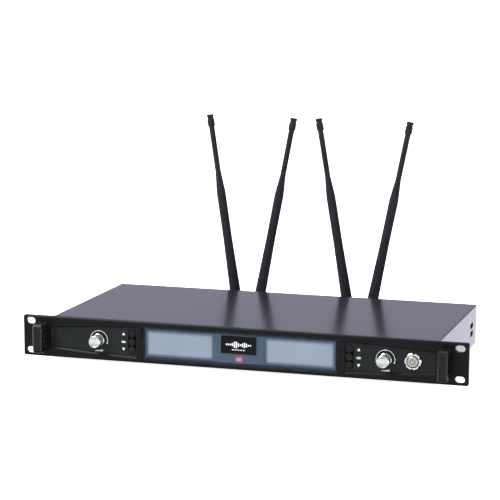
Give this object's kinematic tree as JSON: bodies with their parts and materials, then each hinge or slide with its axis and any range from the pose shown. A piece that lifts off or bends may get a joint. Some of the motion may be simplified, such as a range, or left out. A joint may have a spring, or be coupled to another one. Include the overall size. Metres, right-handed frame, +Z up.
{
  "type": "wireless microphone receiver",
  "caption": "Flat black rack-width radio receiver: wide panel with display, knobs, keys and handles in front, leaning whip antennas on the rear.",
  "frame": {"origin": "centre of the rack slot pattern, on the rear face of the rack ears", "axes": "+X to the right seen from the front, +Y to the rear, +Z up"},
  "size_m": [0.4826, 0.2744, 0.2434],
  "materials": {
    "antenna_base_black": "moulded",
    "antenna_rubber": "moulded over a spring core",
    "badge_black": "satin dark grey plate",
    "bare_aluminium": "extruded",
    "bezel_bright": "bright machined ring",
    "black_plastic": "moulded",
    "brass_plated": "nickel washed",
    "button_champagne": "bead blasted",
    "circuit_board": "green solder mask",
    "contact_gold": "gold flashed",
    "coupling_nickel": "nickel plated, knurled",
    "cover_black": "smooth satin black paint on sheet steel",
    "foot_rubber": "moulded",
    "handle_black": "black anodised aluminium",
    "ir_clear": "tinted clear epoxy",
    "key_rubber": "moulded silicone",
    "knob_silver": "turned and polished",
    "lcd_backlit": "backlit liquid crystal",
    "lens_tinted": "smoked clear acrylic",
    "nickel": "nickel plated",
    "overlay_charcoal": "fine-textured charcoal overlay",
    "panel_black": "satin black powder coat on aluminium",
    "ribbon_grey": "flat cable",
    "screw_black": "black oxide",
    "switch_plastic": "moulded",
    "tinplate": "tin plated sheet",
    "tray_black": "satin black paint on sheet steel",
    "white_insulator": "moulded",
    "xlr_metal": "black plated zinc",
    "zinc_steel": "zinc plated"
  },
  "bodies": {
    "chassis": {"antenna_jacks": "nickel", "badge_plate": "badge_black", "board_standoffs": "brass_plated", "chassis_tray": "tray_black", "control_plate_a": "overlay_charcoal", "control_plate_b": "overlay_charcoal", "dc_inlet": "black_plastic", "display_board": "circuit_board", "display_lens": "lens_tinted", "front_fascia": "panel_black", "handle_left": "handle_black", "handle_right": "handle_black", "handle_screws": "zinc_steel", "heat_sink": "bare_aluminium", "ir_emitter": "ir_clear", "jack_insulators": "white_insulator", "jack_nuts": "nickel", "key_boards": "circuit_board", "key_switches": "switch_plastic", "lcd_modules": "lcd_backlit", "line_jack": "black_plastic", "line_jack_nut": "nickel", "machine_screws": "zinc_steel", "main_board": "circuit_board", "panel_screws": "screw_black", "pot_nuts": "nickel", "power_switch_bezel": "bezel_bright", "power_switch_body": "switch_plastic", "rf_shields": "tinplate", "ribbon_cables": "ribbon_grey", "rubber_feet": "foot_rubber", "top_cover": "cover_black", "voltage_regulators": "switch_plastic", "volume_pots": "zinc_steel", "xlr_inserts": "black_plastic", "xlr_pins": "contact_gold", "xlr_shells": "xlr_metal"},
    "knob_a": {"volume_knob_a": "knob_silver", "pot_shaft_a": "zinc_steel"},
    "knob_b": {"volume_knob_b": "knob_silver", "pot_shaft_b": "zinc_steel"},
    "power_button": {"power_button": "button_champagne"},
    "key_up_a": {"key_up_a": "key_rubber"},
    "key_set_a": {"key_set_a": "key_rubber"},
    "key_down_a": {"key_down_a": "key_rubber"},
    "key_up_b": {"key_up_b": "key_rubber"},
    "key_set_b": {"key_set_b": "key_rubber"},
    "key_down_b": {"key_down_b": "key_rubber"},
    "antenna_1_coupling": {"antenna_1_coupling": "coupling_nickel"},
    "antenna_1_base": {"antenna_1_base": "antenna_base_black"},
    "antenna_1_whip": {"antenna_1_whip": "antenna_rubber"},
    "antenna_2_coupling": {"antenna_2_coupling": "coupling_nickel"},
    "antenna_2_base": {"antenna_2_base": "antenna_base_black"},
    "antenna_2_whip": {"antenna_2_whip": "antenna_rubber"},
    "antenna_3_coupling": {"antenna_3_coupling": "coupling_nickel"},
    "antenna_3_base": {"antenna_3_base": "antenna_base_black"},
    "antenna_3_whip": {"antenna_3_whip": "antenna_rubber"},
    "antenna_4_coupling": {"antenna_4_coupling": "coupling_nickel"},
    "antenna_4_base": {"antenna_4_base": "antenna_base_black"},
    "antenna_4_whip": {"antenna_4_whip": "antenna_rubber"}
  },
  "joints": [
    {"name": "knob_a_turn", "type": "hinge", "parent": "chassis", "child": "knob_a", "pos_m": [-0.1555, -0.0155, -0.0006], "axis": [0, -1, 0], "range_deg": [-150, 150]},
    {"name": "key_up_a_press", "type": "slide", "parent": "chassis", "child": "key_up_a", "axis": [0, 1, 0], "range_m": [0, 0.0006], "stiffness_N_per_m": 800},
    {"name": "key_set_a_press", "type": "slide", "parent": "chassis", "child": "key_set_a", "axis": [0, 1, 0], "range_m": [0, 0.0006], "stiffness_N_per_m": 800},
    {"name": "key_down_a_press", "type": "slide", "parent": "chassis", "child": "key_down_a", "axis": [0, 1, 0], "range_m": [0, 0.0006], "stiffness_N_per_m": 800},
    {"name": "knob_b_turn", "type": "hinge", "parent": "chassis", "child": "knob_b", "pos_m": [0.1555, -0.0155, -0.0006], "axis": [0, -1, 0], "range_deg": [-150, 150]},
    {"name": "key_up_b_press", "type": "slide", "parent": "chassis", "child": "key_up_b", "axis": [0, 1, 0], "range_m": [0, 0.0006], "stiffness_N_per_m": 800},
    {"name": "key_set_b_press", "type": "slide", "parent": "chassis", "child": "key_set_b", "axis": [0, 1, 0], "range_m": [0, 0.0006], "stiffness_N_per_m": 800},
    {"name": "key_down_b_press", "type": "slide", "parent": "chassis", "child": "key_down_b", "axis": [0, 1, 0], "range_m": [0, 0.0006], "stiffness_N_per_m": 800},
    {"name": "power_press", "type": "slide", "parent": "chassis", "child": "power_button", "axis": [0, 1, 0], "range_m": [0, 0.0015], "stiffness_N_per_m": 900},
    {"name": "antenna_1_unlock", "type": "hinge", "parent": "chassis", "child": "antenna_1_coupling", "pos_m": [-0.0804, 0.216, 0], "axis": [0, 1, 0], "range_deg": [0, 90]},
    {"name": "antenna_1_swivel", "type": "hinge", "parent": "chassis", "child": "antenna_1_base", "pos_m": [-0.0804, 0.246, 0], "axis": [0, 1, 0], "range_deg": [-81.4, 8.6]},
    {"name": "antenna_1_fold", "type": "hinge", "parent": "antenna_1_base", "child": "antenna_1_whip", "pos_m": [-0.0804, 0.246, 0], "axis": [-0.9888, 0, -0.1495], "range_deg": [0, 90]},
    {"name": "antenna_2_unlock", "type": "hinge", "parent": "chassis", "child": "antenna_2_coupling", "pos_m": [-0.054, 0.216, 0], "axis": [0, 1, 0], "range_deg": [0, 90]},
    {"name": "antenna_2_swivel", "type": "hinge", "parent": "chassis", "child": "antenna_2_base", "pos_m": [-0.054, 0.246, 0], "axis": [0, 1, 0], "range_deg": [-10.8, 1.5]},
    {"name": "antenna_2_fold", "type": "hinge", "parent": "antenna_2_base", "child": "antenna_2_whip", "pos_m": [-0.054, 0.246, 0], "axis": [-0.9823, 0, 0.1874], "range_deg": [0, 90]},
    {"name": "antenna_3_unlock", "type": "hinge", "parent": "chassis", "child": "antenna_3_coupling", "pos_m": [0.054, 0.216, 0], "axis": [0, 1, 0], "range_deg": [0, 90]},
    {"name": "antenna_3_swivel", "type": "hinge", "parent": "chassis", "child": "antenna_3_base", "pos_m": [0.054, 0.246, 0], "axis": [0, 1, 0], "range_deg": [-1.5, 9.7]},
    {"name": "antenna_3_fold", "type": "hinge", "parent": "antenna_3_base", "child": "antenna_3_whip", "pos_m": [0.054, 0.246, 0], "axis": [-0.9857, 0, -0.1685], "range_deg": [0, 90]},
    {"name": "antenna_4_unlock", "type": "hinge", "parent": "chassis", "child": "antenna_4_coupling", "pos_m": [0.0804, 0.216, 0], "axis": [0, 1, 0], "range_deg": [0, 90]},
    {"name": "antenna_4_swivel", "type": "hinge", "parent": "chassis", "child": "antenna_4_base", "pos_m": [0.0804, 0.246, 0], "axis": [0, 1, 0], "range_deg": [-11.2, 78.8]},
    {"name": "antenna_4_fold", "type": "hinge", "parent": "antenna_4_base", "child": "antenna_4_whip", "pos_m": [0.0804, 0.246, 0], "axis": [-0.981, 0, 0.1942], "range_deg": [0, 90]}
  ]
}
